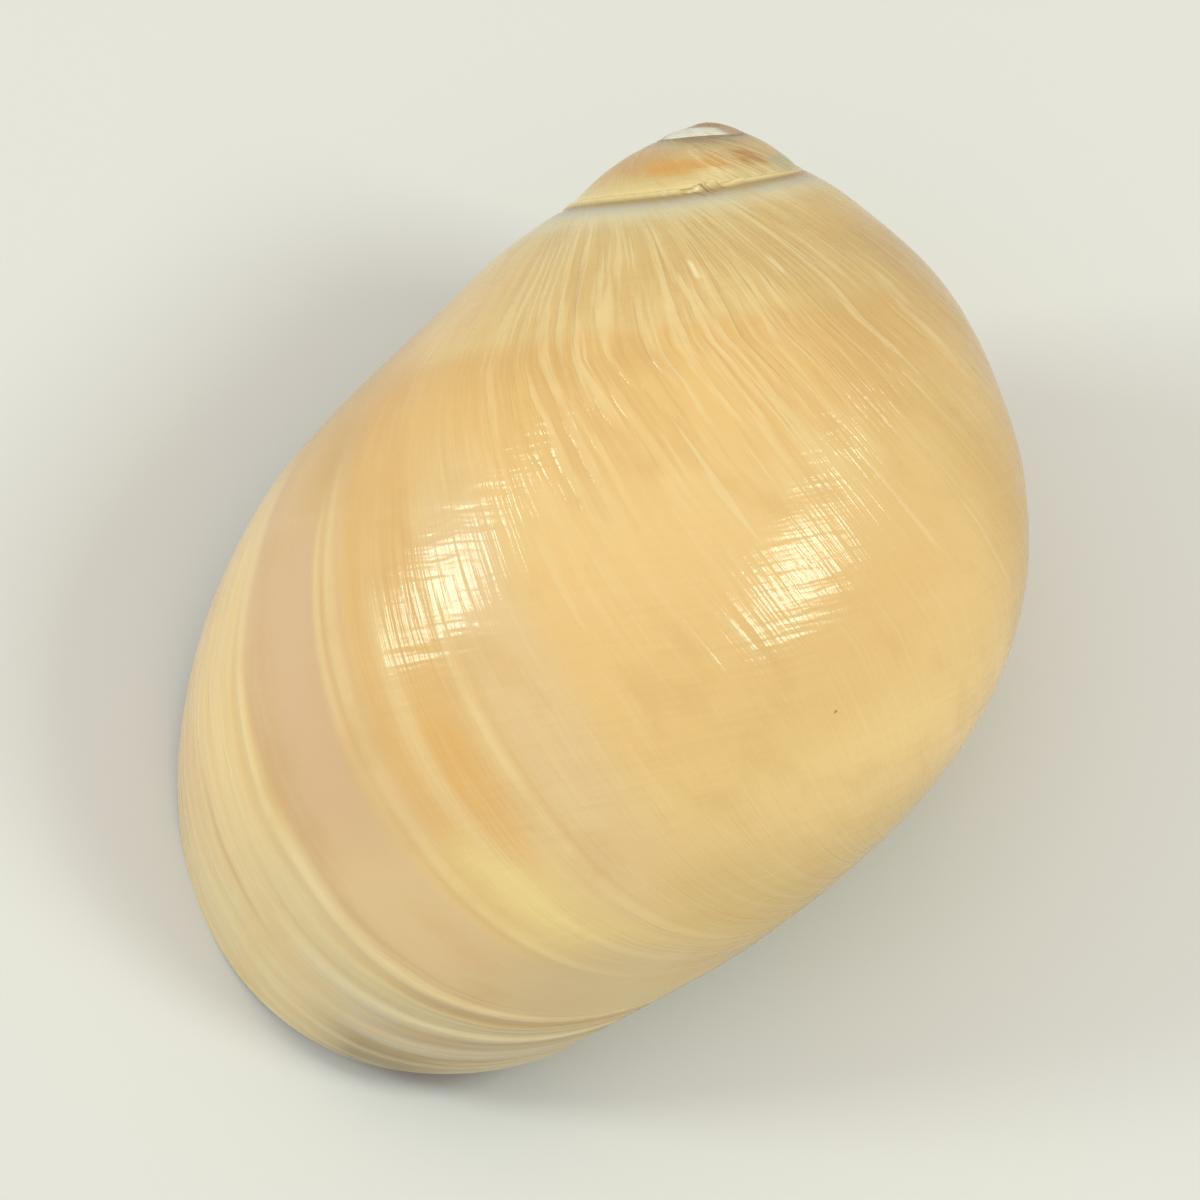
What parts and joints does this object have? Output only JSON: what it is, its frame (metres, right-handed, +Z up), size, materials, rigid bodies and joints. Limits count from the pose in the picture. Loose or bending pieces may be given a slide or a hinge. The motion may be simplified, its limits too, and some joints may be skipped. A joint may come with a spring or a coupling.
{
  "type": "moon snail shell",
  "caption": "Globose, glossy golden snail shell with a low pointed spire and a wide D-shaped mouth, lying on its mouth side.",
  "frame": {"origin": "on the ground, under the middle of the shell's bounding box as it lies on its mouth", "axes": "+Z up from the ground, +Y level towards the spire's tip, +X level towards the side away from the outer lip"},
  "size_m": [0.0382, 0.0402, 0.0254],
  "materials": {
    "shell": "gloss"
  },
  "bodies": {
    "root": {"shell": "shell"}
  },
  "joints": []
}
